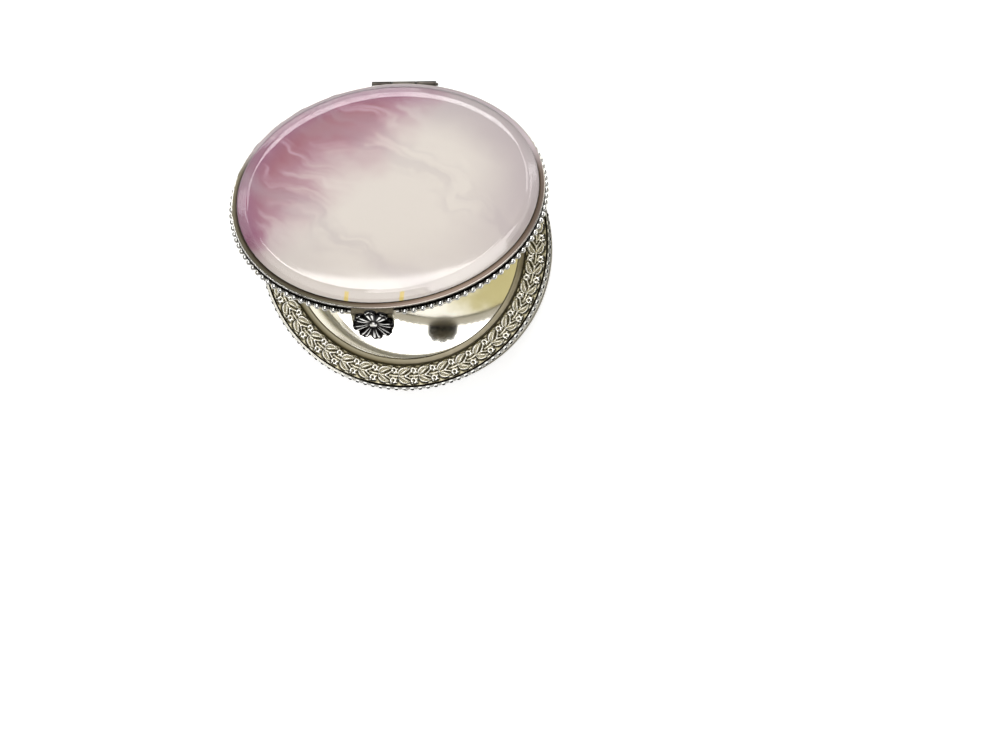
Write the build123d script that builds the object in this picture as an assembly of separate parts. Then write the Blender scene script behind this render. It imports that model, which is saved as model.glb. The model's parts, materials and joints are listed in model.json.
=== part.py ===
from build123d import *
import math
import os

# Round hinged keepsake box, lid standing open. Millimetres, +Z up.
# Origin: centre of the flat base, on the surface it stands on. Hinge at +Y, clasp at -Y.
# Every lid piece is first modelled closed, then swung open about the hinge axis.

# ---- overall sizes ----
rim_radius = 34.6          # edge that carries the beads, on the body and on the lid
parting_height = 22.0      # underside of the closed lid's frame
lid_gap = 0.25             # the closed lid's frame clears the body's rim ridge by this
open_angle = 39.0          # how far the lid stands open

# ---- body shell ----
wall_setback = 0.8         # the wall's outside behind the rim edge
wall_thickness = 0.8
base_thickness = 1.4
base_overhang = 0.6        # base edge beyond the wall
base_edge_round = 0.5

# ---- top flange with the vine band ----
flange_thickness = 1.7     # from its underside to the top of its outer ridge
ridge_width = 0.45
band_width = 4.65
band_drop = 0.45           # vine band's ground below the outer ridge
groove_width = 0.3
groove_depth = 0.3         # below the band's ground

# ---- inner cup ----
cup_thickness = 0.5
cup_floor_height = 4.0     # top of its floor above the surface
cup_corner = 1.0           # inside fillet at the floor
lip_width = 1.55
lip_height = 0.6
lip_round = 0.28
cup_fit = 0.05             # radial gap between the cup and the flange

# ---- beads ----
bead_pitch = 1.9
body_bead_radius = 0.6
body_bead_inset = 0.15     # bead centres inside the rim edge
body_bead_drop = 1.0       # bead centres below the parting height
lid_bead_radius = 0.65
lid_bead_reach = 0.35      # bead centres outside the rim edge
lid_bead_rise = 1.1        # bead centres above the parting height
bead_wire_width = 0.2
bead_wire_height = 0.6

# ---- lid frame ----
frame_seat_height = 1.7    # parting height to the floor that the picture lies on
frame_web = 0.7
frame_skirt = 2.6          # width of the frame's underside, from the rim edge inwards
skirt_height = 1.5         # parting height to the cove
cove_height = 0.65
cove_depth = 0.7           # behind the rim edge
bezel_ridge_reach = 0.15   # beyond the rim edge
bezel_ridge_height = 0.4
bezel_rise = 0.2           # slope from the ridge up to the glass
seat_setback = 1.1         # glass seat behind the rim edge
liner_thickness = 0.5
liner_edge_round = 0.2

# ---- picture and glass ----
print_thickness = 0.2
glass_fit = 0.05
glass_edge = 1.0           # height of the glass's upright edge
bevel_width = 2.5
bevel_rise = 0.85
bevel_round = 3.5          # where the bevel turns into the crown
crown_rise = 0.12          # the middle of the glass above its bevel line

# ---- hinge ----
hinge_offset = 3.05        # hinge axis behind the rim edge
hinge_drop = 0.3           # hinge axis below the parting height
knuckle_radius = 0.8
middle_knuckle = 5.6
outer_knuckle = 4.7
knuckle_gap = 0.15
pin_radius = 0.35
pin_clearance = 0.05
pin_stub = 0.5             # pin beyond the right-hand knuckle
leaf_thickness = 0.6
strap_gap = 0.5            # body leaf's cross strap to the middle knuckle
bead_break = 0.4           # beads stop this far from the hinge and the tongue

# ---- clasp ----
tongue_width = 8.8
tongue_clearance = 0.3     # tongue's inner face beyond the beads
tongue_thickness = 0.7
tongue_drop = 4.9          # tongue's lower end below the parting height
tongue_root_height = 0.95  # root's height, up from the bottom of the cove
flower_radius = 4.4
flower_drop = 0.8          # flower's centre below the parting height
flower_depth = 0.9
flower_chamfer = 0.3
petal_count = 8
petal_turn = 6.0           # degrees that the petals are turned, seen from the front
petal_radius = 1.5
heart_radius = 1.0
dish_radius = 3.2          # the petals slope down from here to the heart
dish_depth = 0.7
rivet_radius = 0.55
rivet_head_radius = 0.8
rivet_head_height = 0.4
rivet_head_round = 0.3
stud_radius = 1.0          # catch stud on the wall, behind the closed tongue
stud_drop = 3.6            # stud's centre below the parting height
stud_clearance = 0.1       # its domed end to the tongue
stud_round = 0.6

# ---- worked out from the sizes above ----
wall_radius = rim_radius - wall_setback
ridge_top = parting_height - lid_gap
flange_bottom = ridge_top - flange_thickness
band_ground = ridge_top - band_drop
bead_tip = rim_radius - body_bead_inset + body_bead_radius
band_outer = rim_radius - ridge_width - groove_width
band_inner = band_outer - band_width
lip_outer = band_inner - groove_width
cup_radius = lip_outer - lip_width
seat_radius = rim_radius - seat_setback
liner_radius = rim_radius - frame_skirt
cove_radius = rim_radius - cove_depth
cove_low = parting_height + skirt_height
bezel_ridge_radius = rim_radius + bezel_ridge_reach
bezel_ridge_low = cove_low + cove_height
bezel_ridge_high = bezel_ridge_low + bezel_ridge_height
frame_top = bezel_ridge_high + bezel_rise
hinge_y = rim_radius + hinge_offset
hinge_z = parting_height - hinge_drop
hinge_length = middle_knuckle + 2 * outer_knuckle + 2 * knuckle_gap
hinge_axis = Axis((0, hinge_y, hinge_z), (1, 0, 0))
tongue_inner_y = -(bead_tip + tongue_clearance)
tongue_outer_y = tongue_inner_y - tongue_thickness
flower_z = parting_height - flower_drop
cutter = 3 * rim_radius    # length of a cutting shape, more than anything that it cuts


def turned(points):
    """A solid of revolution about Z from (radius, height) points."""
    outline = Polyline(*[(r, 0, z) for r, z in points], close=True)
    return revolve(make_face(outline), Axis.Z)


def upright_block(x_half, y_from, y_to, z_from, z_to):
    """A box between two faces across Y and two heights."""
    block = Box(2 * x_half, y_to - y_from, z_to - z_from)
    return Pos(0, (y_from + y_to) / 2, (z_from + z_to) / 2) * block


def cross_cylinder(radius, length, x_centre):
    """A cylinder along X on the hinge axis."""
    return Pos(x_centre, hinge_y, hinge_z) * (Rot(0, 90, 0) * Cylinder(radius, length))


def swing_open(shape):
    """A lid piece moved from closed to open."""
    return shape.rotate(hinge_axis, -open_angle)


def make_base_plate():
    plate = Cylinder(wall_radius + base_overhang, base_thickness)
    plate = fillet(plate.edges().filter_by(GeomType.CIRCLE), base_edge_round)
    return Pos(0, 0, base_thickness / 2) * plate


def make_outer_wall():
    inside = wall_radius - wall_thickness
    return turned([
        (inside, base_thickness),
        (wall_radius, base_thickness),
        (wall_radius, flange_bottom),
        (inside, flange_bottom),
    ])


def make_vine_flange():
    inner = cup_radius + cup_thickness + cup_fit
    groove = band_ground - groove_depth
    return turned([
        (inner, flange_bottom),
        (rim_radius, flange_bottom),
        (rim_radius, ridge_top),
        (rim_radius - ridge_width, ridge_top),
        (rim_radius - ridge_width, groove),
        (band_outer, groove),
        (band_outer, band_ground),
        (band_inner, band_ground),
        (band_inner, groove),
        (inner, groove),
    ])


def make_inner_cup():
    """Pressed cup that hangs by its rolled lip on the flange's inner ledge."""
    ledge = band_ground - groove_depth
    lip_top = ledge + lip_height
    mouth = lip_top + lip_height
    outer = cup_radius + cup_thickness
    floor_under = cup_floor_height - cup_thickness
    body = turned([
        (0, floor_under),
        (outer, floor_under),
        (outer, ledge),
        (lip_outer, ledge),
        (lip_outer, lip_top),
        (0, lip_top),
    ])
    corners = body.edges().filter_by(GeomType.CIRCLE)
    foot = corners.sort_by(Axis.Z)[0]
    body = fillet(foot, cup_corner + cup_thickness)
    hollow = turned([
        (0, cup_floor_height),
        (cup_radius, cup_floor_height),
        (cup_radius, mouth),
        (0, mouth),
    ])
    hollow_foot = hollow.edges().filter_by(GeomType.CIRCLE).sort_by(Axis.Z)[0]
    cup = body - fillet(hollow_foot, cup_corner)
    rims = cup.edges().filter_by(GeomType.CIRCLE).group_by(Axis.Z)[-1]
    return fillet(rims, lip_round)


def make_beading(ring_radius, bead_radius, centre_height, front_gap, back_gap):
    """A wire with beads, laid round the rim edge and cut away at the hinge and the tongue."""
    count = round(2 * math.pi * ring_radius / bead_pitch)
    step = 360 / count
    wire = turned([
        (rim_radius, centre_height - bead_wire_height / 2),
        (rim_radius + bead_wire_width, centre_height - bead_wire_height / 2),
        (rim_radius + bead_wire_width, centre_height + bead_wire_height / 2),
        (rim_radius, centre_height + bead_wire_height / 2),
    ])
    core = Pos(0, 0, centre_height) * Cylinder(rim_radius, cutter)
    bead = Pos(ring_radius, 0, centre_height) * Sphere(bead_radius) - core
    beads = []
    for number in range(count):
        angle = (number + 0.5) * step
        x_half = abs(ring_radius * math.cos(math.radians(angle)))
        behind = math.sin(math.radians(angle)) > 0
        gap = back_gap if behind else front_gap
        if x_half > gap + bead_radius:
            beads.append(Rot(0, 0, angle) * bead)
    low = centre_height - bead_wire_height
    high = centre_height + bead_wire_height
    if front_gap > 0:
        wire = wire - upright_block(front_gap, -cutter, 0, low, high)
    if back_gap > 0:
        wire = wire - upright_block(back_gap, 0, cutter, low, high)
    return wire + beads


def make_lid_frame():
    """Turned bezel with a web under the picture and a cove above the beads."""
    base = parting_height
    return turned([
        (0, base + frame_seat_height - frame_web),
        (liner_radius, base + frame_seat_height - frame_web),
        (liner_radius, base),
        (rim_radius, base),
        (rim_radius, cove_low),
        (cove_radius, cove_low),
        (cove_radius, bezel_ridge_low),
        (bezel_ridge_radius, bezel_ridge_low),
        (bezel_ridge_radius, bezel_ridge_high),
        (seat_radius + glass_fit, frame_top),
        (seat_radius, frame_top),
        (seat_radius, base + frame_seat_height),
        (0, base + frame_seat_height),
    ])


def make_lid_liner():
    """Plate pressed into the underside of the lid."""
    top = parting_height + frame_seat_height - frame_web
    plate = Cylinder(liner_radius - glass_fit, liner_thickness)
    lower = plate.edges().filter_by(GeomType.CIRCLE).sort_by(Axis.Z)[0]
    plate = fillet(lower, liner_edge_round)
    return Pos(0, 0, top - liner_thickness / 2) * plate


def make_print_disc():
    low = parting_height + frame_seat_height
    disc = Cylinder(seat_radius - glass_fit, print_thickness)
    return Pos(0, 0, low + print_thickness / 2) * disc


def make_lid_glass():
    """Glass disc with a bevelled edge and a slightly crowned top."""
    radius = seat_radius - glass_fit
    low = parting_height + frame_seat_height + print_thickness
    edge_top = low + glass_edge
    bevel_top = edge_top + bevel_rise
    crown_top = bevel_top + crown_rise
    bevel_line = radius - bevel_width
    sides = Polyline(
        (0, 0, crown_top), (0, 0, low), (radius, 0, low), (radius, 0, edge_top), (bevel_line, 0, bevel_top)
    )
    sphere = (bevel_line**2 + crown_rise**2) / (2 * crown_rise)
    middle_drop = sphere - math.sqrt(sphere**2 - (bevel_line / 2) ** 2)
    middle = (bevel_line / 2, 0, crown_top - middle_drop)
    crown = ThreePointArc((bevel_line, 0, bevel_top), middle, (0, 0, crown_top))
    glass = revolve(make_face(sides + crown), Axis.Z)
    line = glass.edges().filter_by(GeomType.CIRCLE).sort_by_distance((-bevel_line, 0, bevel_top))[0]
    return fillet(line, bevel_round)


def make_hinge_leaf_body():
    """Two knuckles on arms, joined by a strap against the rim."""
    low = hinge_z - knuckle_radius
    high = low + leaf_thickness
    strap = upright_block(hinge_length / 2, 0, hinge_y - knuckle_radius - strap_gap, low, high)
    leaf = strap - Cylinder(rim_radius, cutter)
    for side in (-1, 1):
        x_centre = side * (middle_knuckle + outer_knuckle + 2 * knuckle_gap) / 2
        arm = upright_block(outer_knuckle / 2, rim_radius, hinge_y, low, high)
        leaf = leaf + Pos(x_centre, 0, 0) * arm
        leaf = leaf + cross_cylinder(knuckle_radius, outer_knuckle, x_centre)
    return leaf - cross_cylinder(pin_radius, cutter, 0)


def make_hinge_leaf_lid():
    """The middle knuckle on its plate."""
    high = hinge_z + knuckle_radius
    low = high - leaf_thickness
    plate = upright_block(middle_knuckle / 2, 0, hinge_y, low, high) - Cylinder(rim_radius, cutter)
    leaf = plate + cross_cylinder(knuckle_radius, middle_knuckle, 0)
    return leaf - cross_cylinder(pin_radius + pin_clearance, cutter, 0)


def make_hinge_pin():
    length = hinge_length + pin_stub
    return cross_cylinder(pin_radius, length, pin_stub / 2)


def make_clasp_tongue():
    """Plate that hangs in front of the rim, rounded at its lower end, with a root on the lid's cove."""
    half = tongue_width / 2
    top = cove_low + tongue_root_height
    bottom = parting_height - tongue_drop
    straight = bottom + half
    sides = Polyline((-half, straight), (-half, top), (half, top), (half, straight))
    end = ThreePointArc((half, straight), (0, bottom), (-half, straight))
    face = Plane.XZ * make_face(sides + end)
    plate = Pos(0, tongue_outer_y, 0) * extrude(face, -tongue_thickness)
    root = upright_block(half, tongue_inner_y, 0, cove_low, top)
    inside = Cylinder(cove_radius, cutter)
    ridge = turned([
        (cove_radius, bezel_ridge_low),
        (bezel_ridge_radius, bezel_ridge_low),
        (bezel_ridge_radius, frame_top),
        (cove_radius, frame_top),
    ])
    shank = flower_axis_cylinder(rivet_radius, cutter, tongue_outer_y)
    return plate + (root - inside - ridge) - shank


def flower_axis_cylinder(radius, length, y_centre):
    """A cylinder along Y on the flower's axis."""
    return Pos(0, y_centre, flower_z) * (Rot(90, 0, 0) * Cylinder(radius, length))


def make_clasp_flower():
    """Petals that slope down to a sunk heart, bored for the rivet."""
    petal_centre = flower_radius - petal_radius
    petals = Circle(petal_centre)
    for number in range(petal_count):
        turn = math.radians(number * 360 / petal_count + petal_turn)
        place = Pos(petal_centre * math.cos(turn), petal_centre * math.sin(turn))
        petals = petals + place * Circle(petal_radius)
    flower = extrude(petals, flower_depth)
    rim = flower.edges().group_by(Axis.Z)[-1]
    flower = chamfer(rim, flower_chamfer)
    dish = Pos(0, 0, flower_depth - dish_depth / 2) * Cone(heart_radius, dish_radius, dish_depth)
    flower = flower - dish - Cylinder(rivet_radius, cutter)
    return Pos(0, tongue_outer_y, flower_z) * (Rot(90, 0, 0) * flower)


def make_clasp_rivet():
    """Round-headed rivet through the flower and the tongue."""
    head_base = tongue_outer_y - flower_depth + dish_depth
    length = tongue_inner_y - head_base
    shank = flower_axis_cylinder(rivet_radius, length, (tongue_inner_y + head_base) / 2)
    y_head = head_base - rivet_head_height / 2
    head = flower_axis_cylinder(rivet_head_radius, rivet_head_height, y_head)
    face = head.edges().filter_by(GeomType.CIRCLE).sort_by(Axis.Y)[0]
    return shank + fillet(face, rivet_head_round)


def make_catch_stud():
    """Domed stud on the wall that the closed tongue snaps against."""
    tip = tongue_inner_y + stud_clearance
    length = -wall_radius - tip + wall_thickness
    place = Pos(0, tip + length / 2, parting_height - stud_drop)
    stud = place * (Rot(90, 0, 0) * Cylinder(stud_radius, length))
    end = stud.edges().filter_by(GeomType.CIRCLE).sort_by(Axis.Y)[0]
    return fillet(end, stud_round) - Cylinder(wall_radius, cutter)


body_ring_radius = rim_radius - body_bead_inset
body_ring_height = parting_height - body_bead_drop
lid_ring_radius = rim_radius + lid_bead_reach
lid_ring_height = parting_height + lid_bead_rise
hinge_break = hinge_length / 2 + bead_break
tongue_break = tongue_width / 2 + bead_break

body_parts = {
    "base_plate": make_base_plate(),
    "outer_wall": make_outer_wall(),
    "vine_flange": make_vine_flange(),
    "inner_cup": make_inner_cup(),
    "rim_beading": make_beading(body_ring_radius, body_bead_radius, body_ring_height, 0, hinge_break),
    "hinge_leaf_body": make_hinge_leaf_body(),
    "hinge_pin": make_hinge_pin(),
    "catch_stud": make_catch_stud(),
}
lid_parts = {
    "lid_frame": make_lid_frame(),
    "lid_beading": make_beading(lid_ring_radius, lid_bead_radius, lid_ring_height, tongue_break, hinge_break),
    "lid_liner": make_lid_liner(),
    "print_disc": make_print_disc(),
    "lid_glass": make_lid_glass(),
    "hinge_leaf_lid": make_hinge_leaf_lid(),
    "clasp_tongue": make_clasp_tongue(),
    "clasp_flower": make_clasp_flower(),
    "clasp_rivet": make_clasp_rivet(),
}

os.makedirs("parts", exist_ok=True)
for name, shape in body_parts.items():
    export_step(shape, f"parts/{name}.step")
for name, shape in lid_parts.items():
    export_step(swing_open(shape), f"parts/{name}.step")
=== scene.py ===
"""Looks of a round hinged keepsake box with its lid standing open.

Lengths in the sections below are millimetres in the row frame, turned into metres where
a mesh, a lamp or the camera is made. Lid pieces are drawn closed and then swung open.
"""

import json
import math

import bpy
import numpy as np
from mathutils import Matrix, Vector


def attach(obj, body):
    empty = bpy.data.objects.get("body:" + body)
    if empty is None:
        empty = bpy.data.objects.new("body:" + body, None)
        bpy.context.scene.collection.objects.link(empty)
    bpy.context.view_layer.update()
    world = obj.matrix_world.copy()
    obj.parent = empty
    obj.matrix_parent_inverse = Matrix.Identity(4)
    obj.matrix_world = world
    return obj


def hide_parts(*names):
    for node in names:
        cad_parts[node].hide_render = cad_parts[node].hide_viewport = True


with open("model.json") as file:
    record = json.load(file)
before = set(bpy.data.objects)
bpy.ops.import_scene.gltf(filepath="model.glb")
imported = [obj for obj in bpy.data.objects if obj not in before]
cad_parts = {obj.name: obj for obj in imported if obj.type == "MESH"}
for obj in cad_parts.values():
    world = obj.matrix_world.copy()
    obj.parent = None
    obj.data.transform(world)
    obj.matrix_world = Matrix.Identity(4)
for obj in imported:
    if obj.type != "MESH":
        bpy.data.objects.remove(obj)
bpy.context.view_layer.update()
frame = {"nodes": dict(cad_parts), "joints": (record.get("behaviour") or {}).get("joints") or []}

MM = 0.001

# ---- sizes shared with the solids ----
parting_height = 22.0
rim_radius = 34.6
body_ring_radius = 34.45
body_ring_height = 21.0
lid_ring_radius = 34.95
bead_pitch = 1.9
bead_radius = 0.6
ridge_top = 21.75
band_ground = 21.3
groove_floor = 21.0
band_outer = 33.85
band_inner = 29.2
lip_outer = 28.9
cup_radius = 27.35
cup_floor = 4.4
glass_foot = 23.93             # just above the print's top face
glass_radius = 33.45
glass_edge_top = 24.9
bevel_line = 30.95
bevel_top = 25.75
crown_rise = 0.12
bezel_ridge_low = 24.15
tongue_width = 8.8
tongue_outer_y = -36.05
stud_z = 18.4
flower_z = 21.2
flower_radius = 4.37           # 0.03 less than the solid's, so that the petals stay inside it
knuckle_seam = 2.87            # from the middle of the hinge to each seam between its knuckles

hinge = frame["joints"][0]
hinge_at = Vector(hinge["pos_m"])
open_angle = math.radians(-hinge["range_deg"][0])
opened = Matrix.Translation(hinge_at) @ Matrix.Rotation(-open_angle, 4, "X") @ Matrix.Translation(-hinge_at)


# ---------------------------------------------------------------- shader helpers
class Paint:
    """A material and short names for the nodes that its looks need."""

    def __init__(self, name, kept_in=bpy.data.materials, output="ShaderNodeOutputMaterial"):
        self.material = kept_in.new(name)
        self.material.use_nodes = True
        self.tree = self.material.node_tree
        self.tree.nodes.clear()
        self.output = self.tree.nodes.new(output)

    def put(self, socket, value):
        if isinstance(value, bpy.types.NodeSocket):
            self.tree.links.new(value, socket)
        elif value is not None:
            socket.default_value = value

    def node(self, kind, **settings):
        made = self.tree.nodes.new(kind)
        for name, value in settings.items():
            setattr(made, name, value)
        return made

    def math(self, operation, *values, clamp=False):
        made = self.node("ShaderNodeMath", operation=operation, use_clamp=clamp)
        for socket, value in zip(made.inputs, values):
            self.put(socket, value)
        return made.outputs[0]

    def times(self, a, b):
        return self.math("MULTIPLY", a, b)

    def plus(self, a, b):
        return self.math("ADD", a, b)

    def minus(self, a, b):
        return self.math("SUBTRACT", a, b)

    def size(self, value):
        return self.math("ABSOLUTE", value)

    def scaled(self, vector, amount):
        made = self.node("ShaderNodeVectorMath", operation="SCALE")
        self.put(made.inputs[0], vector)
        self.put(made.inputs["Scale"], amount)
        return made.outputs[0]

    def step(self, value, low, high, to_low=0.0, to_high=1.0):
        """A smooth change from to_low to to_high while value goes from low to high."""
        made = self.node("ShaderNodeMapRange", interpolation_type="SMOOTHSTEP")
        for name, v in (("Value", value), ("From Min", low), ("From Max", high),
                        ("To Min", to_low), ("To Max", to_high)):
            self.put(made.inputs[name], v)
        return made.outputs[0]

    def fade(self, value, low, high):
        """1 below low, 0 above high and a smooth change between them."""
        return self.step(value, low, high, 1.0, 0.0)

    def mix(self, factor, a, b):
        made = self.node("ShaderNodeMix", data_type="RGBA")
        self.put(made.inputs["Factor"], factor)
        for name, colour in (("A", a), ("B", b)):
            socket = next(s for s in made.inputs if s.name == name and s.type == "RGBA")
            self.put(socket, colour if isinstance(colour, bpy.types.NodeSocket) else (*colour, 1.0))
        return next(s for s in made.outputs if s.type == "RGBA")

    def ramp(self, factor, *stops):
        made = self.node("ShaderNodeValToRGB")
        self.put(made.inputs[0], factor)
        points = made.color_ramp.elements
        while len(points) < len(stops):
            points.new(0.5)
        for point, (place, colour) in zip(points, stops):
            point.position = place
            point.color = (*colour, 1.0)
        return made.outputs["Color"]

    def noise(self, vector, scale, detail=4.0, roughness=0.5, distortion=0.0):
        made = self.node("ShaderNodeTexNoise")
        for name, v in (("Vector", vector), ("Scale", scale), ("Detail", detail),
                        ("Roughness", roughness), ("Distortion", distortion)):
            self.put(made.inputs[name], v)
        return made.outputs[0]

    def attribute(self, name):
        return self.node("ShaderNodeAttribute", attribute_name=name).outputs["Fac"]

    def place(self, lid=False):
        """The surface point in millimetres, as if the lid were closed for a lid piece."""
        point = self.node("ShaderNodeTexCoord").outputs["Object"]
        if lid:
            turn = self.node("ShaderNodeVectorRotate", rotation_type="X_AXIS")
            self.put(turn.inputs["Vector"], point)
            self.put(turn.inputs["Center"], hinge_at)
            self.put(turn.inputs["Angle"], open_angle)
            point = turn.outputs[0]
        return self.scaled(point, 1 / MM)

    def split(self, vector):
        made = self.node("ShaderNodeSeparateXYZ")
        self.put(made.inputs[0], vector)
        return made.outputs

    def join(self, x, y, z):
        made = self.node("ShaderNodeCombineXYZ")
        for socket, value in zip(made.inputs, (x, y, z)):
            self.put(socket, value)
        return made.outputs[0]

    def round_place(self, lid=False):
        """The point, its radius from the box's axis, its angle about it in turns, and its height."""
        point = self.place(lid)
        x, y, z = self.split(point)
        radius = self.math("SQRT", self.plus(self.times(x, x), self.times(y, y)))
        turn = self.math("DIVIDE", self.math("ARCTAN2", y, x), 2 * math.pi)
        return point, radius, turn, z

    def from_bead(self, turn, ring_radius):
        """0 at the middle of a bead and 0.5 halfway to the next one."""
        count = round(2 * math.pi * ring_radius / bead_pitch)
        phase = self.math("FRACT", self.times(turn, float(count)))
        return self.size(self.minus(phase, 0.5))

    def bump(self, height, distance, strength=1.0, normal=None):
        made = self.node("ShaderNodeBump")
        for name, v in (("Height", height), ("Distance", distance * MM), ("Strength", strength),
                        ("Normal", normal)):
            self.put(made.inputs[name], v)
        return made.outputs[0]

    def principled(self, colour, roughness, metallic=0.0, normal=None, **more):
        made = self.node("ShaderNodeBsdfPrincipled")
        if not isinstance(colour, bpy.types.NodeSocket):
            colour = (*colour, 1.0)
        self.put(made.inputs["Base Color"], colour)
        self.put(made.inputs["Roughness"], roughness)
        self.put(made.inputs["Metallic"], metallic)
        self.put(made.inputs["Normal"], normal)
        for name, value in more.items():
            self.put(made.inputs[name.replace("_", " ").title().replace("Ior", "IOR")], value)
        return made.outputs[0]

    def finish(self, shader):
        self.tree.links.new(shader, self.output.inputs["Surface"])
        return self.material


# ---------------------------------------------------------------- metals
shadow_black = (0.022, 0.019, 0.011)
# Near black, painted as shade in the grooves and the cove.
groove_shade_black = (0.006, 0.005, 0.004)
# Near black, painted as shade between the beads and as a dark reflection on them.
bead_shade_black = (0.02, 0.017, 0.012)
dark_olive = (0.17, 0.15, 0.09)
khaki = (0.50, 0.455, 0.31)
pale_silver = (0.92, 0.885, 0.76)
white_silver = (1.0, 0.975, 0.90)


def relief_silver():
    """Cast silver plate: patina and painted shade in recesses, rubbing and painted highlights on tops."""
    p = Paint("relief_silver")
    point = p.place()
    grime = p.noise(point, 3.0, 3.0, 0.6)
    # Painted shade in the recesses and painted highlights on the tops, with wear and grime.
    worn_and_lit = p.math("ADD", p.attribute("light_and_wear"), p.times(p.minus(grime, 0.45), 0.7), clamp=True)
    colour = p.ramp(worn_and_lit, (0.0, shadow_black), (0.2, dark_olive), (0.4, khaki),
                    (0.68, pale_silver), (1.0, white_silver))
    grain = p.bump(p.noise(point, 14.0, 2.0), 0.02, 0.5)
    rough = p.step(worn_and_lit, 0.1, 0.9, 0.42, 0.12)
    return p.finish(p.principled(colour, rough, 1.0, grain))


def flange_silver():
    """The flange's grooves, painted dark as shade, and its ridge: silver on the left, painted shade
    elsewhere.

    Where painted in shade, the ridge is black on its inner flank with a painted highlight by each bead.
    """
    p = Paint("flange_silver")
    point, radius, turn, z = p.round_place()
    x, _, _ = p.split(point)
    top = p.step(z, groove_floor + 0.15, band_ground + 0.1)
    past_lip = p.step(radius, lip_outer, band_inner + 0.5)
    # Painted shade in the grooves: dark olive beside the lip and black further out.
    groove = p.mix(past_lip, (0.05, 0.042, 0.018), groove_shade_black)
    silver = p.mix(p.noise(point, 0.8, 3.0), (0.60, 0.58, 0.50), (0.95, 0.93, 0.86))
    bright = p.mix(top, groove, silver)
    # One painted highlight beside each bead, on the stretch of ridge that is painted in shade.
    past_painted_highlight = p.step(p.from_bead(turn, body_ring_radius), 0.14, 0.26)
    dull = p.mix(past_painted_highlight, (0.85, 0.85, 0.82), (0.27, 0.265, 0.25))
    # Painted black shade on the ridge's inner flank.
    crest = p.step(radius, band_outer + 0.35, band_outer + 0.5)
    dull = p.mix(crest, groove_shade_black, dull)
    # Painted shade on the ridge everywhere but on the left, where it keeps its silver.
    painted_ridge_shade = p.times(p.step(x, -20.0, -8.0), p.step(radius, band_outer, band_outer + 0.1))
    colour = p.mix(painted_ridge_shade, bright, dull)
    grain = p.bump(p.noise(point, 9.0, 2.0), 0.01, 0.4)
    return p.finish(p.principled(colour, p.step(top, 0.0, 1.0, 0.5, 0.2), 1.0, grain))


def wall_silver():
    """Spun silver plate with fine rings, duller patches and a darker foot."""
    p = Paint("wall_silver")
    point, radius, turn, z = p.round_place()
    rings = p.noise(p.join(radius, p.times(turn, 3.0), p.times(z, 6.0)), 2.2, 3.0, 0.6)
    patches = p.noise(point, 0.11, 4.0, 0.6)
    silver = p.mix(p.step(patches, 0.35, 0.7), (0.80, 0.785, 0.73), (0.62, 0.60, 0.53))
    colour = p.mix(p.step(z, 1.0, 2.2), (0.30, 0.28, 0.22), silver)
    rough = p.plus(p.step(patches, 0.3, 0.7, 0.16, 0.3), p.times(rings, 0.08))
    return p.finish(p.principled(colour, rough, 1.0, p.bump(rings, 0.006, 0.6)))


def bead_tone(p, point):
    """Polished silver with a little tarnish."""
    tarnish = p.noise(point, 0.9, 3.0)
    return p.mix(p.step(tarnish, 0.35, 0.75), (0.93, 0.925, 0.90), (0.70, 0.68, 0.60))


def body_bead_silver():
    """Beads bright below their middles, with painted shade above and between, and a painted dark reflection.
    """
    p = Paint("rim_beads")
    point, radius, turn, z = p.round_place()
    aside = p.from_bead(turn, body_ring_radius)
    bead = p.fade(aside, 0.30, 0.42)
    low = p.fade(z, body_ring_height - 0.1, body_ring_height + 0.1)
    # Painted grey shade on the beads above their middles.
    silver = p.mix(low, (0.36, 0.355, 0.335), bead_tone(p, point))
    # Painted shade in the gaps between the beads: black below their middles, grey above.
    painted_gap_shade = p.mix(low, (0.24, 0.235, 0.21), bead_shade_black)
    outer_edge = body_ring_radius + bead_radius
    # A painted dark reflection on the upper outer side of each bead.
    painted_dark_reflection = p.times(p.fade(aside, 0.18, 0.28), p.fade(radius, outer_edge - 0.11, outer_edge - 0.05))
    painted_dark_reflection = p.times(painted_dark_reflection, p.step(radius, rim_radius, rim_radius + 0.06))
    painted_dark_reflection = p.times(painted_dark_reflection, p.step(z, body_ring_height - 0.05, body_ring_height + 0.1))
    colour = p.mix(painted_dark_reflection, p.mix(bead, painted_gap_shade, silver), bead_shade_black)
    return p.finish(p.principled(colour, p.step(bead, 0.0, 1.0, 0.45, 0.12), 1.0))


def lid_bead_silver():
    """Polished beads with painted shade on their undersides and painted black shade between them."""
    p = Paint("lid_beads")
    point, _, turn, z = p.round_place(lid=True)
    bead = p.fade(p.from_bead(turn, lid_ring_radius), 0.30, 0.42)
    lit = p.step(z, parting_height + 0.85, parting_height + 1.35)
    # Painted black shade between the beads and painted shade on their undersides.
    colour = p.mix(bead, bead_shade_black, p.mix(lit, (0.09, 0.08, 0.06), bead_tone(p, point)))
    return p.finish(p.principled(colour, p.step(bead, 0.0, 1.0, 0.45, 0.12), 1.0))


def turned_scratches(p, radius, turn, z):
    """Normals of a polished face with fine scratches that run round it."""
    return p.bump(p.noise(p.join(radius, p.times(turn, 2.0), z), 5.0, 2.0), 0.001, 0.2)


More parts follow.
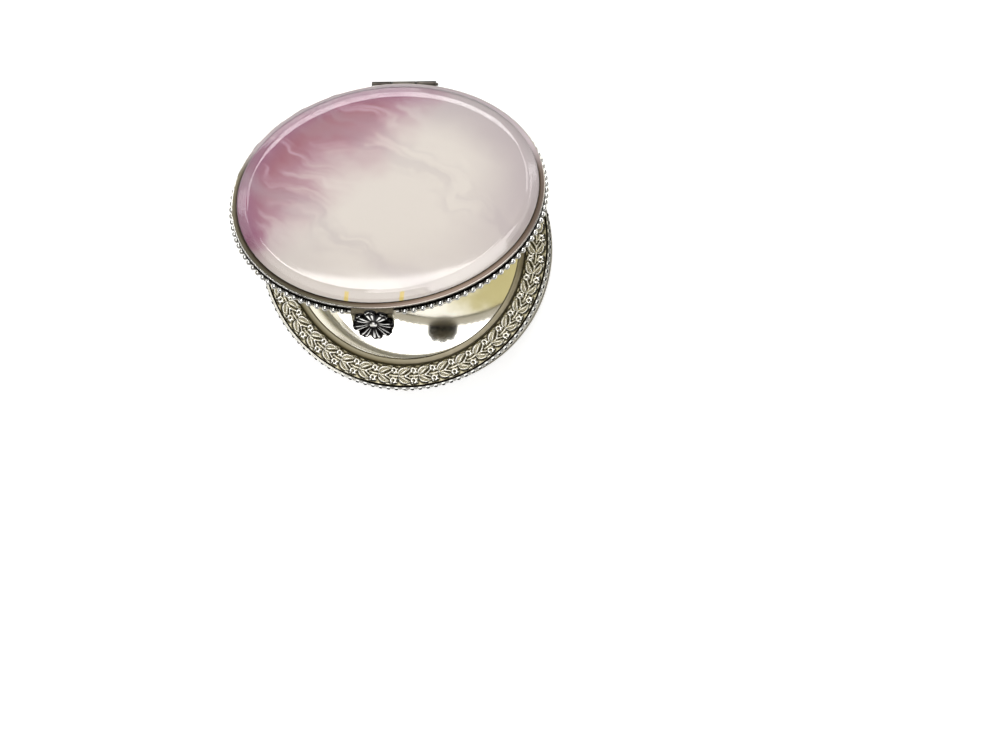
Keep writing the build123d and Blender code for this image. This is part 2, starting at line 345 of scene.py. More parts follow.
def cup_lining():
    """Warm-toned mirror polish with a satin corner; the rolled lip is dull khaki with painted shade by the
    band.
    """
    p = Paint("cup_lining")
    point, radius, turn, z = p.round_place()
    x, y, _ = p.split(point)
    haze = p.noise(point, 0.06, 3.0)
    mirror = p.mix(haze, (0.97, 0.945, 0.87), (0.985, 0.97, 0.92))
    # Painted shade on the rolled lip, darker towards the band.
    outer = p.step(radius, cup_radius + 0.3, lip_outer)
    tone = p.mix(outer, (0.23, 0.205, 0.14), (0.07, 0.055, 0.025))
    front_right = p.math("DIVIDE", p.minus(x, y), math.sqrt(2) * lip_outer)
    # Lighter cloudy patches on the lip towards the front right.
    front_right_patches = p.times(p.step(front_right, 0.5, 1.0), p.noise(point, 0.5, 3.0))
    tone = p.mix(front_right_patches, tone, (0.32, 0.285, 0.21))
    lip = p.step(z, groove_floor - 0.2, groove_floor + 0.1)
    colour = p.mix(lip, mirror, tone)
    wall = p.times(p.step(radius, cup_radius - 1.2, cup_radius - 0.4), p.minus(1.0, lip))
    rough = p.plus(p.step(haze, 0.3, 0.7, 0.03, 0.06), p.times(lip, 0.3))
    low = p.fade(z, cup_floor + 0.6, cup_floor + 12.6)
    rough = p.plus(rough, p.times(wall, p.plus(0.06, p.times(low, 0.36))))
    corner = p.times(wall, p.fade(z, cup_floor + 0.5, cup_floor + 2.1))
    metallic = p.minus(1.0, p.times(corner, 0.85))
    return p.finish(p.principled(colour, rough, metallic, turned_scratches(p, radius, turn, z)))


def lid_lining():
    """Mirror polish, still silver at the front left, with olive tarnish that drifts over the rest."""
    p = Paint("lid_lining")
    point, radius, turn, z = p.round_place(lid=True)
    x, y, _ = p.split(point)
    haze = p.noise(point, 0.06, 3.0)
    olive = p.mix(haze, (0.42, 0.37, 0.17), (0.60, 0.54, 0.30))
    drift = p.times(p.minus(p.noise(point, 0.09, 4.0, 0.6), 0.5), 34.0)
    from_front_left = p.plus(p.times(p.plus(x, y), math.sqrt(0.5)), drift)
    colour = p.mix(p.step(from_front_left, -24.0, -4.0), (0.95, 0.93, 0.86), olive)
    rough = p.step(haze, 0.3, 0.7, 0.08, 0.16)
    return p.finish(p.principled(colour, rough, 1.0, turned_scratches(p, radius, turn, z)))


def bezel_metal():
    """The lid's frame: a slope beside the glass, a ridge at its edge and a cove below, painted black as
    shadow.

    The slope is dark, with a painted shadow line by the glass, painted shade that is olive on the
    left and brown on the right, and a painted pale reflection at the back. The ridge has a painted
    highlight on the left, and painted shade to the right of it and on its lower flank.
    """
    p = Paint("bezel_metal")
    point, radius, turn, z = p.round_place(lid=True)
    x, y, _ = p.split(point)
    streaks = p.noise(p.join(p.times(radius, 5.0), p.times(turn, 9.0), z), 1.0, 3.0)
    bronze = p.mix(streaks, (0.02, 0.012, 0.008), (0.10, 0.07, 0.05))
    olive = p.mix(streaks, (0.07, 0.06, 0.035), (0.19, 0.17, 0.12))
    brown = p.mix(streaks, (0.05, 0.034, 0.026), (0.15, 0.115, 0.095))
    # Painted shade on the slope: olive on the left, brown on the right.
    painted_side_shade = p.mix(p.step(x, -12.0, 6.0), olive, brown)
    slope = p.mix(p.step(radius, glass_radius + 0.25, glass_radius + 0.7), bronze, painted_side_shade)
    # A painted shadow line beside the glass.
    slope = p.mix(p.step(radius, glass_radius + 0.1, glass_radius + 0.25), shadow_black, slope)
    # A painted pale reflection on the slope at the back.
    slope = p.mix(p.step(y, 4.0, 16.0), slope, (0.34, 0.29, 0.30))
    tarnish = p.noise(point, 0.35, 3.0)
    bright = p.mix(p.step(tarnish, 0.52, 0.66), (0.74, 0.72, 0.67), (0.12, 0.10, 0.08))
    dull = p.mix(streaks, (0.16, 0.14, 0.12), (0.42, 0.39, 0.35))
    # A painted highlight on the ridge at the left and painted shade to the right of it.
    shine = p.mix(p.step(x, -10.0, -2.0), bright, dull)
    crest = p.step(z, bezel_ridge_low + 0.2, bezel_ridge_low + 0.32)
    # Painted shade on the ridge's lower flank.
    shine = p.mix(crest, (0.03, 0.026, 0.02), shine)
    ridge = p.step(radius, rim_radius - 0.1, rim_radius)
    colour = p.mix(ridge, slope, shine)
    cove = p.step(z, parting_height + 1.3, parting_height + 1.5)
    # The cove is painted black as shadow, with grey below it.
    side = p.mix(cove, (0.42, 0.39, 0.32), groove_shade_black)
    above = p.step(z, bezel_ridge_low - 0.02, bezel_ridge_low + 0.03)
    colour = p.mix(above, side, colour)
    rough = p.step(ridge, 0.0, 1.0, 0.3, 0.16)
    return p.finish(p.principled(colour, rough, 1.0, p.bump(streaks, 0.01, 0.4)))


def tongue_metal():
    """Dull mottled olive silver with bright edges and painted shade on its root."""
    p = Paint("tongue_metal")
    point = p.place(lid=True)
    x, _, z = p.split(point)
    cloud = p.noise(point, 1.1, 4.0, 0.6, 0.6)
    colour = p.ramp(cloud, (0.3, (0.035, 0.03, 0.018)), (0.5, (0.13, 0.112, 0.07)),
                    (0.72, (0.40, 0.37, 0.28)))
    edge = p.step(p.size(x), tongue_width / 2 - 0.2, tongue_width / 2 - 0.05)
    colour = p.mix(edge, colour, (0.5, 0.48, 0.4))
    # Painted shade on the root, carrying the cove's painted shadow over the tongue.
    root = p.mix(cloud, (0.014, 0.011, 0.007), (0.06, 0.052, 0.036))
    colour = p.mix(p.step(z, bezel_ridge_low - 0.25, bezel_ridge_low + 0.15), colour, root)
    return p.finish(p.principled(colour, 0.28, 1.0, p.bump(cloud, 0.03, 0.5)))


def flower_metal():
    """Polished black petals with painted highlight streaks on their ridges and by their rims."""
    p = Paint("flower_metal")
    # Black, with painted highlights where the value is high.
    colour = p.ramp(p.attribute("light_and_wear"), (0.0, (0.004, 0.004, 0.004)), (0.42, (0.016, 0.015, 0.014)),
                    (0.62, (0.75, 0.74, 0.70)), (1.0, (1.0, 1.0, 0.98)))
    return p.finish(p.principled(colour, 0.1, 1.0))


def plain_silver(name, lid, black_below):
    """Polished silver plate, painted black below one height."""
    p = Paint(name)
    point = p.place(lid)
    tarnish = p.noise(point, 1.2, 3.0)
    colour = p.mix(p.step(tarnish, 0.35, 0.7), (0.93, 0.92, 0.9), (0.66, 0.64, 0.58))
    low = p.fade(p.split(point)[2], black_below - 0.15, black_below + 0.1)
    colour = p.mix(low, colour, (0.02, 0.02, 0.02))
    return p.finish(p.principled(colour, p.step(tarnish, 0.3, 0.7, 0.1, 0.22), 1.0))


def hinge_metal(name, lid):
    """Dull grey stamped steel with drawn lines, a dark back and painted black shade in the knuckle seams."""
    p = Paint(name)
    point = p.place(lid)
    x, y, z = p.split(point)
    drawn = p.noise(p.join(p.times(x, 0.5), p.times(y, 5.0), p.times(z, 5.0)), 2.0, 3.0)
    patches = p.noise(point, 0.7, 3.0)
    colour = p.mix(p.step(patches, 0.3, 0.7), (0.06, 0.052, 0.044), (0.13, 0.115, 0.098))
    pin_y = hinge_at.y / MM
    colour = p.mix(p.step(y, pin_y + 0.3, pin_y + 0.6), colour, (0.012, 0.01, 0.008))
    # Painted black shade in the seams between the knuckles.
    from_seam = p.size(p.minus(p.size(x), knuckle_seam))
    colour = p.mix(p.fade(from_seam, 0.18, 0.3), colour, (0.004, 0.004, 0.004))
    return p.finish(p.principled(colour, 0.38, 1.0, p.bump(drawn, 0.01, 0.6)))


# ---------------------------------------------------------------- picture and glass
cream = (0.645, 0.58, 0.515)
lilac = (0.36, 0.285, 0.30)
blush = (0.43, 0.17, 0.26)
rose = (0.25, 0.03, 0.10)
crimson = (0.22, 0.006, 0.04)
magenta = (0.19, 0.015, 0.09)
ochre = (0.72, 0.52, 0.05)
mark_offset = 5.8              # the two ochre marks, to each side of the middle


def printed_card():
    """A cream card with a lilac border, a rose wash that thins out in soft veils, and two marks.

    The picture is laid out along the wash, from the back left to the front right, and across it.
    The lilac border, heavier towards the back, and the magenta rim at the back left are print and
    painted shade in one, and the card is painted darker as shade under the bevel at the sides and back.
    """
    p = Paint("printed_card")
    point, radius, _, _ = p.round_place(lid=True)
    x, y, _ = p.split(point)
    warp = p.noise(p.join(x, y, 0.0), 0.045, 3.0, 0.55)
    drift = p.times(p.minus(warp, 0.5), 26.0)
    along = p.plus(p.plus(p.times(x, 0.8), p.times(y, -0.6)), drift)
    across = p.plus(p.plus(p.times(x, 0.6), p.times(y, 0.8)), drift)
    fibres = p.noise(p.join(p.times(across, 0.22), p.times(along, 0.05), 0.0), 1.0, 5.0, 0.55)

    # The lilac border: print, and painted shade that grows from the front to the back.
    border = p.step(p.plus(radius, p.times(drift, 0.5)), 16.0, 32.0)
    border = p.times(border, p.step(y, -34.0, 4.0, 0.1, 0.85))
    colour = p.mix(border, cream, lilac)

    wash = p.fade(along, -28.0, -2.0)
    colour = p.mix(p.times(wash, 0.8), colour, blush)
    deep = p.times(wash, p.step(fibres, 0.36, 0.6))
    colour = p.mix(p.times(deep, 0.9), colour, rose)
    pool = p.times(p.fade(along, -27.0, -11.0), p.step(fibres, 0.33, 0.48, 0.2, 1.0))
    colour = p.mix(pool, colour, crimson)
    # A magenta rim at the back left: print, and painted shade under the bevel there.
    rim_pool_and_shade = p.times(p.step(radius, 26.0, 32.0), p.fade(along, -20.0, -6.0))
    rim_pool_and_shade = p.times(rim_pool_and_shade, p.step(fibres, 0.3, 0.5, 0.35, 0.95))
    colour = p.mix(rim_pool_and_shade, colour, magenta)

    for middle, reach, fibre_low, fibre_high, strength in ((9.0, 9.0, 0.42, 0.6, 0.3),
                                                           (-17.0, 6.0, 0.36, 0.55, 0.35)):
        veil = p.fade(p.size(p.minus(across, middle)), 0.0, reach)
        veil = p.times(veil, p.step(fibres, fibre_low, fibre_high))
        colour = p.mix(p.times(veil, strength), colour, lilac)

    bevel_shade = p.times(p.step(radius, bevel_line - 0.75, glass_radius - 0.45),
                          p.step(y, -31.0, -16.0, 0.0, 0.45))
    colour = p.mix(bevel_shade, colour, p.mix(0.7, (0.0, 0.0, 0.0), colour))
    from_mark = p.size(p.minus(p.size(x), mark_offset))
    mark = p.times(p.fade(from_mark, 0.3, 0.6), p.step(radius, bevel_line - 0.75, bevel_line - 0.35))
    mark = p.times(mark, p.math("LESS_THAN", y, 0.0))
    colour = p.mix(p.times(mark, 0.85), colour, ochre)
    paper = p.bump(p.noise(point, 6.0, 2.0), 0.004, 0.3)
    return p.finish(p.principled(colour, 0.6, 0.0, paper))


def clear_glass():
    """Clear glass that lamps and scattered light pass straight through."""
    p = Paint("clear_glass")
    glass = p.principled((1.0, 1.0, 1.0), 0.05, 0.0, transmission_weight=1.0, ior=1.5)
    path = p.node("ShaderNodeLightPath")
    through = p.math("MAXIMUM", path.outputs["Is Shadow Ray"], path.outputs["Is Diffuse Ray"])
    mixed = p.node("ShaderNodeMixShader")
    p.put(mixed.inputs[0], through)
    p.put(mixed.inputs[1], glass)
    p.put(mixed.inputs[2], p.node("ShaderNodeBsdfTransparent").outputs[0])
    return p.finish(mixed.outputs[0])


def dress(material, *names):
    """Give solids a material."""
    for name in names:
        for slot in frame["nodes"][name].material_slots:
            slot.material = material


# ---------------------------------------------------------------- meshes
def add_mesh(name, points, faces, material, body, light_and_wear=None, placed=None):
    """A smooth mesh for one body; the optional values give each point's painted light and wear."""
    mesh = bpy.data.meshes.new(name)
    mesh.from_pydata([tuple(p) for p in points], [], faces)
    if placed is not None:
        mesh.transform(placed)
    mesh.shade_smooth()
    if light_and_wear is not None:
        layer = mesh.attributes.new("light_and_wear", "FLOAT", "POINT")
        layer.data.foreach_set("value", np.asarray(light_and_wear, np.float32).ravel())
    mesh.materials.append(material)
    made = bpy.data.objects.new(name, mesh)
    bpy.context.scene.collection.objects.link(made)
    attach(made, body)
    return made


def closed_strip(name, rings, material, body, light_and_wear=None, placed=None):
    """A closed ring of quads: rings[i][j] is point j of cross-section i."""
    count, around = rings.shape[:2]
    points = rings.reshape(-1, 3) * MM
    faces = []
    for i in range(count):
        after = (i + 1) % count
        for j in range(around):
            beside = (j + 1) % around
            faces.append((i * around + j, after * around + j, after * around + beside, i * around + beside))
    return add_mesh(name, points, faces, material, body, light_and_wear, placed)


def round_wire(name, radius, height, half_width, half_height, material, body, placed=None):
    """A smooth ring round the box's axis with an oval cross-section."""
    turns = np.linspace(0, 2 * math.pi, 240, endpoint=False)
    oval = np.linspace(0, 2 * math.pi, 14, endpoint=False)
    out = radius + half_width * np.cos(oval)
    up = height + half_height * np.sin(oval)
    rings = [np.column_stack([out * math.cos(a), out * math.sin(a), up]) for a in turns]
    return closed_strip(name, np.array(rings), material, body, placed=placed)


def turned_mesh(name, profile, material, body, placed=None):
    """A closed solid of revolution. The first and the last (radius, height) lie on the axis."""
    sides = 256
    middle = profile[1:-1]
    points = [(0.0, 0.0, profile[0][1] * MM)]
    for radius, height in middle:
        for side in range(sides):
            angle = 2 * math.pi * side / sides
            points.append((radius * MM * math.cos(angle), radius * MM * math.sin(angle), height * MM))
    points.append((0.0, 0.0, profile[-1][1] * MM))
    faces = []
    last = 1 + (len(middle) - 1) * sides
    for side in range(sides):
        beside = (side + 1) % sides
        faces.append((0, 1 + side, 1 + beside))
        for row in range(len(middle) - 1):
            a = 1 + row * sides
            b = a + sides
            faces.append((a + side, b + side, b + beside, a + beside))
        faces.append((last + side, len(points) - 1, last + beside))
    made = add_mesh(name, points, faces, material, body, placed=placed)
    made.data.set_sharp_from_angle(angle=math.radians(30))
    return made


def bevelled_glass(material):
    """The lid's glass with its bevel, rounded shoulder and slight crown."""
    def crown(radius):
        return bevel_top + crown_rise * (1 - (radius / bevel_line) ** 2)

    def bevel(radius):
        return bevel_top + (glass_edge_top - bevel_top) * (radius - bevel_line) / (glass_radius - bevel_line)

    shoulder_reach = 0.56
    profile = [(radius, crown(radius)) for radius in np.linspace(0, bevel_line - shoulder_reach, 12)]
    start = profile.pop()
    end = (bevel_line + shoulder_reach, bevel(bevel_line + shoulder_reach))
    for t in np.linspace(0, 1, 13):
        profile.append(tuple((1 - t) ** 2 * a + 2 * t * (1 - t) * b + t * t * c
                             for a, b, c in zip(start, (bevel_line, bevel_top), end)))
    profile += [(radius, bevel(radius)) for radius in np.linspace(end[0] + 0.3, glass_radius - 0.1, 5)]
    profile += [(glass_radius - 0.02, glass_edge_top - 0.03), (glass_radius, glass_edge_top - 0.1),
                (glass_radius, glass_foot + 0.05), (glass_radius - 0.05, glass_foot), (0, glass_foot)]
    made = turned_mesh("bevelled_glass", profile, material, "lid", opened)
    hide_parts("lid_glass")


# ---------------------------------------------------------------- vine relief
motif_count = 41
motif_start = 6.45             # degrees from the front to the first leaf fork, towards +X
motif_columns = 74
band_rows = 46
relief_height = 0.40


def smooth_cap(distance, half_width):
    """Height of a rounded ridge across its half width."""
    inside = np.clip(1 - (distance / half_width) ** 2, 0, None)
    return np.sqrt(inside)


def curve_distance(u, v, start, bend, end, steps=60):
    """Distance to a quadratic curve and the share along it, for every point."""
    best = np.full(u.shape, 1e9)
    share = np.zeros(u.shape)
    for t in np.linspace(0, 1, steps):
        x = (1 - t) ** 2 * start[0] + 2 * t * (1 - t) * bend[0] + t * t * end[0]
        y = (1 - t) ** 2 * start[1] + 2 * t * (1 - t) * bend[1] + t * t * end[1]
        away = np.hypot(u - x, v - y)
        nearer = away < best
        best = np.where(nearer, away, best)
        share = np.where(nearer, t, share)
    return best, share


def leaf(u, v, start, bend, end, half_width):
    """A pointed leaf with a raised rim and a midrib."""
    away, share = curve_distance(u, v, start, bend, end)
    width = half_width * np.sin(np.pi * np.clip(share, 0.02, 0.98) ** 0.9) ** 0.75
    across = away / np.maximum(width, 0.02)
    rim = smooth_cap(across - 0.76, 0.40)
    rib = 0.6 * smooth_cap(across, 0.14)
    blade = 0.15 * (across < 1.0)
    return np.maximum.reduce([rim, rib, blade])


def tendril(u, v, start, bend, end, half_width, taper=0.5):
    """A rounded stem that thins out by the taper towards its end."""
    away, share = curve_distance(u, v, start, bend, end)
    return smooth_cap(away, half_width * (1 - taper * share))


def scroll(u, v, centre, radius, tube, opening, sweep):
    """A rolled tendril: most of a ring, with a bead inside its open end."""
    du, dv = u - centre[0], v - centre[1]
    angle = np.degrees(np.arctan2(dv, du))
    turned = (angle - opening) % 360
    thick = tube * (0.65 + 0.35 * np.clip(turned / sweep, 0, 1))
    ring = smooth_cap(np.hypot(du, dv) - radius, thick) * (turned < sweep)
    tip_angle = math.radians(opening)
    tip = (centre[0] + radius * 0.75 * math.cos(tip_angle), centre[1] + radius * 0.75 * math.sin(tip_angle))
    bead = smooth_cap(np.hypot(u - tip[0], v - tip[1]), tube * 1.15)
    return np.maximum(ring, bead)


def motif_height(u, v):
    """Relief of one fork of the vine, 0 to 1. u runs along the band and v outwards, in millimetres."""
    upper = leaf(u, v, (0.05, 0.08), (0.75, 1.45), (2.55, 1.45), 0.62)
    lower = leaf(u, v, (0.05, -0.10), (0.30, -1.55), (2.60, -1.72), 0.66)
    fork_up = tendril(u, v, (1.45, 0.05), (2.0, 0.30), (2.75, 0.75), 0.25)
    fork_down = tendril(u, v, (1.45, 0.02), (2.1, -0.30), (2.95, -1.00), 0.26)
    stem = 0.7 * tendril(u, v, (-0.2, 0.0), (0.7, 0.05), (1.6, 0.04), 0.18, 0.0)
    run = 0.7 * tendril(u, v, (2.6, 0.0), (3.7, 0.15), (4.81, 0.0), 0.17, 0.0)
    top_scroll = scroll(u, v, (3.50, 1.18), 0.55, 0.35, 150, 300)
    low_scroll = scroll(u, v, (3.56, -1.25), 0.55, 0.35, 160, 300)
    lobes = [0.9 * smooth_cap(np.hypot((u - at[0]) / 1.2, v - at[1]), at[2])
             for at in ((4.28, 0.78, 0.27), (4.30, 1.62, 0.24), (4.34, -0.82, 0.28), (4.38, -1.62, 0.25),
                        (3.10, 1.88, 0.20), (3.05, -1.95, 0.18), (2.90, 0.02, 0.20))]
    spray = 0.5 * tendril(u, v, (0.2, 1.35), (1.2, 2.05), (2.7, 2.0), 0.12)
    low_spray = 0.5 * tendril(u, v, (0.0, -1.3), (0.7, -2.1), (2.2, -2.12), 0.12)
    return np.maximum.reduce([upper, lower, fork_up, fork_down, stem, run, 0.95 * top_scroll,
                              0.95 * low_scroll, spray, low_spray] + lobes)


def blurred(field, reach):
    """Mean over a square of cells, wrapped along the band and held at its edges."""
    total = np.zeros_like(field)
    rows = np.arange(field.shape[0])
    for i in range(-reach, reach + 1):
        picked = field[np.clip(rows + i, 0, field.shape[0] - 1)]
        for j in range(-reach, reach + 1):
            total += np.roll(picked, j, axis=1)
    return total / (2 * reach + 1) ** 2


def vine_relief(material):
    """The vine band as one closed ring of relief on the flange."""
    middle = (band_inner + band_outer) / 2
    pitch = 2 * math.pi * middle / motif_count
    across = np.linspace(band_inner - middle, band_outer - middle, band_rows)
    along = (np.arange(motif_columns) + 0.5) * pitch / motif_columns
    u, v = np.meshgrid(along, across)
    height = np.maximum.reduce([motif_height(u + shift * pitch, v) for shift in (-1, 0, 1)])
    height = 0.5 * height + 0.5 * blurred(height, 1)
    border = 0.15
    height *= np.clip(np.minimum(v - across[0], across[-1] - v) / border, 0, 1)
    hollow = height - blurred(height, 5)
    # Painted shade in the hollows and painted highlights on the raised parts, with wear on the tops.
    light_and_wear = np.clip(0.37 + 0.60 * height + 1.5 * hollow, 0, 1)
    rings, light_and_wear_values = [], []
    skin, root = 0.03, 0.15
    for column in range(motif_count * motif_columns):
        angle = math.radians(motif_start) + 2 * math.pi * (column + 0.5) / (motif_count * motif_columns)
        out = np.array([math.sin(angle), -math.cos(angle)])
        relief = height[:, column % motif_columns]
        radii = np.concatenate([[across[0]], across, [across[-1]]]) + middle
        levels = np.concatenate([[-root], skin + relief_height * relief, [-root]])
        rings.append(np.column_stack([np.outer(radii, out), band_ground + levels]))
        light_and_wear_values.append(np.concatenate([[0.0], light_and_wear[:, column % motif_columns], [0.0]]))
    closed_strip("vine_relief", np.array(rings), material, "box_body", np.array(light_and_wear_values))


# ---------------------------------------------------------------- flower
petal_count = 8
petal_turn = 6.0               # degrees, seen from the front
petal_notch = 3.15             # radius at which neighbouring petals part
heart_radius = 0.6
fan_start, fan_length = 1.1, 1.2
dish_start, dish_length = 0.95, 2.3
dish_low, dish_rise = 0.20, 0.53
ridge_place, ridge_spread, ridge_rise = 0.36, 0.19, 0.16
valley_place, valley_fall = 0.62, 0.42
tip_place, tip_fall = 0.88, 0.22


def between_0_and_1(value):
    return min(1.0, max(0.0, value))


def petal_point(share, angle):
    """One point of the flower's face and its paint value: painted highlights on a black ground.

    share runs from the heart to the rim. In each petal aside runs from 0 in its middle to 1 at
    its edges, and two ridges lie where it is ridge_place.
    """
    turned = angle + math.radians(petal_turn)
    aside = abs(((angle * petal_count / (2 * math.pi)) + 0.5) % 1 - 0.5) * 2
    lobe = math.sqrt(max(0.0, 1 - (0.98 * aside) ** 2.4))
    reach = petal_notch + (flower_radius - petal_notch) * lobe
    radius = heart_radius + (reach - heart_radius) * share
    fan = between_0_and_1((radius - fan_start) / fan_length)
    climb = between_0_and_1((radius - dish_start) / dish_length)
    ridge = math.exp(-(((aside - ridge_place) / ridge_spread) ** 2))
    valley = max(0.0, (aside - valley_place) / (1 - valley_place)) ** 1.5
    height = dish_low + dish_rise * climb * (1.4 - 0.4 * climb)
    height += fan * (ridge_rise * ridge - valley_fall * valley * climb)
    height -= tip_fall * max(0.0, (share - tip_place) / (1 - tip_place)) ** 2
    # Painted highlight streaks along the two ridges, fading before the tips.
    highlight_streak = ridge * (1 - between_0_and_1((share - 0.72) / 0.16))
    # A painted highlight just inside the rim of the upper petals.
    rim_highlight = math.exp(-(((share - 0.94) / 0.035) ** 2)) * (aside < 0.6) * max(0.0, math.sin(turned))
    highlight_streak = max(highlight_streak, 0.8 * rim_highlight)
    # The paint value: painted highlights on the streaks, black elsewhere.
    light_and_wear = between_0_and_1(0.42 + 0.58 * fan * (highlight_streak - 0.4 * (1 - highlight_streak)))
    return (radius * math.cos(turned), radius * math.sin(turned), height), light_and_wear


def clasp_flower(material):
    """Eight petals, each with two ridges, that rise from a sunk heart, as a closed disc."""
    spokes, rows = petal_count * 22, 26
    points, light_and_wear_values = [], []
    for row in range(rows + 1):
        for spoke in range(spokes):
            point, light_and_wear = petal_point(row / rows, 2 * math.pi * spoke / spokes)
            points.append(point)
            light_and_wear_values.append(light_and_wear)
    rim = rows * spokes
    foot = len(points)
    points += [(x, y, 0.0) for x, y, _ in points[rim:rim + spokes]]
    heart, centre = len(points), len(points) + 1
    points += [(0.0, 0.0, dish_low), (0.0, 0.0, 0.0)]
    light_and_wear_values += [0.2] * spokes + [0.4, 0.2]
    faces = []
    for spoke in range(spokes):
        beside = (spoke + 1) % spokes
        for a in range(0, rim, spokes):
            b = a + spokes
            faces.append((a + spoke, b + spoke, b + beside, a + beside))
        faces.append((rim + spoke, foot + spoke, foot + beside, rim + beside))
        faces.append((spoke, beside, heart))
        faces.append((foot + beside, foot + spoke, centre))
    stand = Matrix(((1, 0, 0, 0), (0, 0, -1, tongue_outer_y * MM), (0, 1, 0, flower_z * MM), (0, 0, 0, 1)))
    made = add_mesh("flower_ornament", np.array(points) * MM, faces, material, "lid",
                    light_and_wear_values, opened @ stand)
    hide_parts("clasp_flower")


# ---------------------------------------------------------------- stage, lamps and camera
photo_width = 999
focal_px = 1537.94             # fitted in the photo, like the camera's place and tilt
camera_at = (50.49, -26.03, 385.02)
camera_tilt = (0.014, -0.0761, -0.002)
sensor = 36.0


def make_camera():
    data = bpy.data.cameras.new("photo_camera")
    camera = bpy.data.objects.new("photo_camera", data)
    bpy.context.scene.collection.objects.link(camera)
    data.sensor_width = sensor
    data.lens = sensor * focal_px / photo_width
    data.clip_start, data.clip_end = 0.01, 10
    rx, ry, rz = camera_tilt
    into_view = Matrix.Rotation(rz, 4, "Z") @ Matrix.Rotation(ry, 4, "Y") @ Matrix.Rotation(rx, 4, "X")
    camera.matrix_world = Matrix.Translation(Vector(camera_at) * MM) @ into_view.transposed()
    bpy.context.scene.camera = camera


def seen_rays(p):
    """1 for rays from the camera, from a mirror and through glass."""
    path = p.node("ShaderNodeLightPath")
    seen = p.math("MAXIMUM", path.outputs["Is Camera Ray"], path.outputs["Is Glossy Ray"])
    return p.math("MAXIMUM", seen, path.outputs["Is Transmission Ray"])


def make_floor():
    """A pale floor just below the base that looks white and keeps the box's shadow."""
    half = 3.0
    corners = [(-half, -half, 0), (half, -half, 0), (half, half, 0), (-half, half, 0)]
    mesh = bpy.data.meshes.new("floor")
    mesh.from_pydata(corners, [], [(0, 1, 2, 3)])
    floor = bpy.data.objects.new("floor", mesh)
    bpy.context.scene.collection.objects.link(floor)
    floor.location.z = -0.00003
    p = Paint("floor")
    diffuse = p.node("ShaderNodeBsdfDiffuse")
    diffuse.inputs["Color"].default_value = (0.8, 0.8, 0.8, 1)
    glow = p.node("ShaderNodeEmission")
    p.put(glow.inputs["Strength"], p.times(seen_rays(p), 0.6))
    both = p.node("ShaderNodeAddShader")
    p.put(both.inputs[0], diffuse.outputs[0])
    p.put(both.inputs[1], glow.outputs[0])
    mesh.materials.append(p.finish(both.outputs[0]))


# brightness by height, as the sine of the elevation: for scattered light, and in mirrors
fill_levels = ((0.0, 0.88), (0.14, 0.84), (0.3, 0.37), (0.75, 0.32), (0.9, 0.53), (1.0, 0.66))
mirror_levels = ((0.0, 1.0), (0.12, 1.0), (0.2, 0.25), (0.32, 0.07), (0.62, 0.06), (0.76, 0.35),
                 (0.88, 1.0), (1.0, 1.0))


def make_world():
    """White behind the box. Mirrors see a white horizon, a dark wall above it and a bright ceiling."""
    p = Paint("studio", bpy.data.worlds, "ShaderNodeOutputWorld")
    up = p.split(p.node("ShaderNodeTexCoord").outputs["Generated"])[2]
    fill = p.ramp(up, *[(place, (level, level * 0.99, level * 0.97)) for place, level in fill_levels])
    room = p.ramp(up, *[(place, (level, level, level)) for place, level in mirror_levels])
    path = p.node("ShaderNodeLightPath")
    mirrored = p.math("MAXIMUM", path.outputs["Is Glossy Ray"], path.outputs["Is Transmission Ray"])
    colour = p.mix(path.outputs["Is Camera Ray"], p.mix(mirrored, fill, room), (1.0, 1.0, 1.0))
    background = p.node("ShaderNodeBackground")
    p.put(background.inputs["Color"], colour)
    bpy.context.scene.world = p.finish(background.outputs[0])


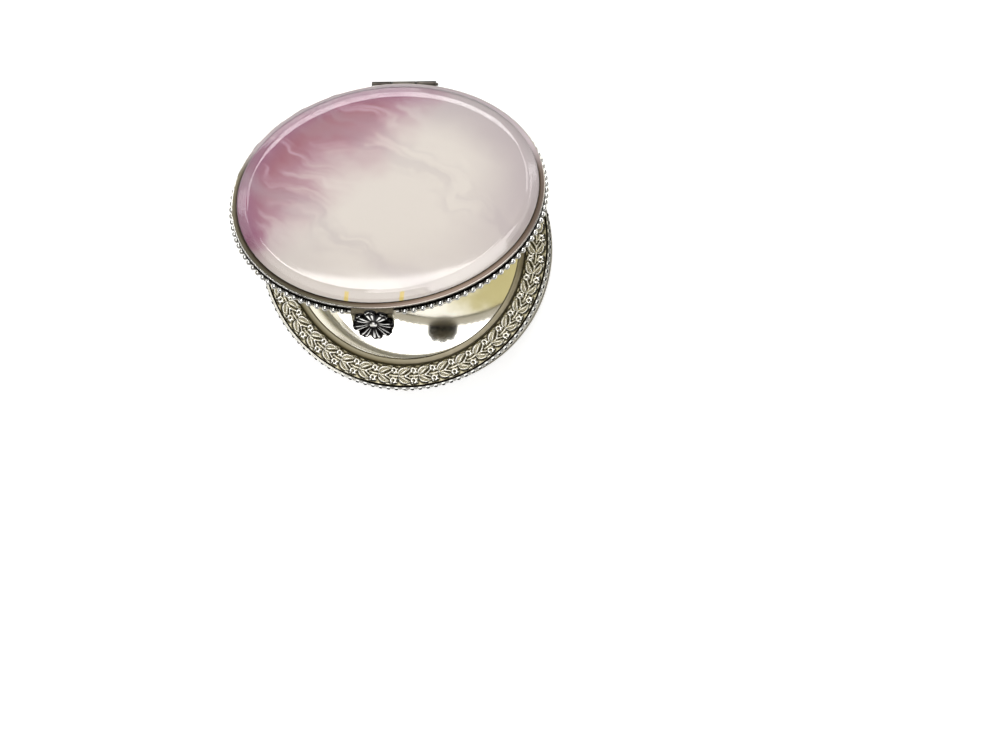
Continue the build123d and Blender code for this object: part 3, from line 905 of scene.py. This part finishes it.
def softbox(name, azimuth, elevation, distance, width, height, radiance):
    """A lamp that faces the box, in degrees and metres. Azimuth 0 is behind the hinge, 90 at +X."""
    data = bpy.data.lights.new(name, "AREA")
    data.shape = "RECTANGLE"
    data.size, data.size_y = width, height
    data.energy = radiance * math.pi * width * height
    lamp = bpy.data.objects.new(name, data)
    bpy.context.scene.collection.objects.link(lamp)
    a, e = math.radians(azimuth), math.radians(elevation)
    towards = Vector((math.sin(a) * math.cos(e), math.cos(a) * math.cos(e), math.sin(e)))
    lamp.location = Vector((0, 0, 0.03)) + towards * distance
    lamp.rotation_mode = "QUATERNION"
    lamp.rotation_quaternion = towards.to_track_quat("Z", "Y")
    lamp.visible_camera = False


# ---------------------------------------------------------------- the box
flange = flange_silver()
dress(flange, "vine_flange")
dress(wall_silver(), "outer_wall", "base_plate")
dress(body_bead_silver(), "rim_beading")
dress(lid_bead_silver(), "lid_beading")
dress(cup_lining(), "inner_cup")
dress(lid_lining(), "lid_liner")
bezel = bezel_metal()
dress(bezel, "lid_frame")
dress(tongue_metal(), "clasp_tongue")
dress(hinge_metal("body_hinge", lid=False), "hinge_leaf_body", "hinge_pin")
dress(hinge_metal("lid_hinge", lid=True), "hinge_leaf_lid")
dress(plain_silver("stud_silver", lid=False, black_below=stud_z - 0.8), "catch_stud")
# The rivet's lower half is painted black as a dark reflection.
dress(plain_silver("rivet_silver", lid=True, black_below=flower_z - 0.15), "clasp_rivet")
dress(printed_card(), "print_disc")
vine_relief(relief_silver())
round_wire("rim_ridge", radius=rim_radius - 0.225, height=ridge_top - 0.15, half_width=0.24,
           half_height=0.2, material=flange, body="box_body")
round_wire("bezel_ridge", radius=rim_radius + 0.06, height=bezel_ridge_low + 0.32, half_width=0.11,
           half_height=0.11, material=bezel, body="lid", placed=opened)
bevelled_glass(clear_glass())
clasp_flower(flower_metal())

make_camera()
make_floor()
make_world()
#        name, azimuth, elevation, distance, width, height, radiance
softbox("key", 8, 33, 0.7, 0.42, 0.36, 4.3)
softbox("top", 200, 78, 0.8, 0.45, 0.45, 1.6)
softbox("right_line", 8.5, 3, 2.0, 0.31, 0.28, 3.6)
softbox("left_line", -25, 2, 2.0, 0.35, 0.28, 3.6)
softbox("front_line", -10, 14.5, 2.0, 0.7, 0.25, 8.0)
bpy.context.scene.view_settings.view_transform = "Standard"
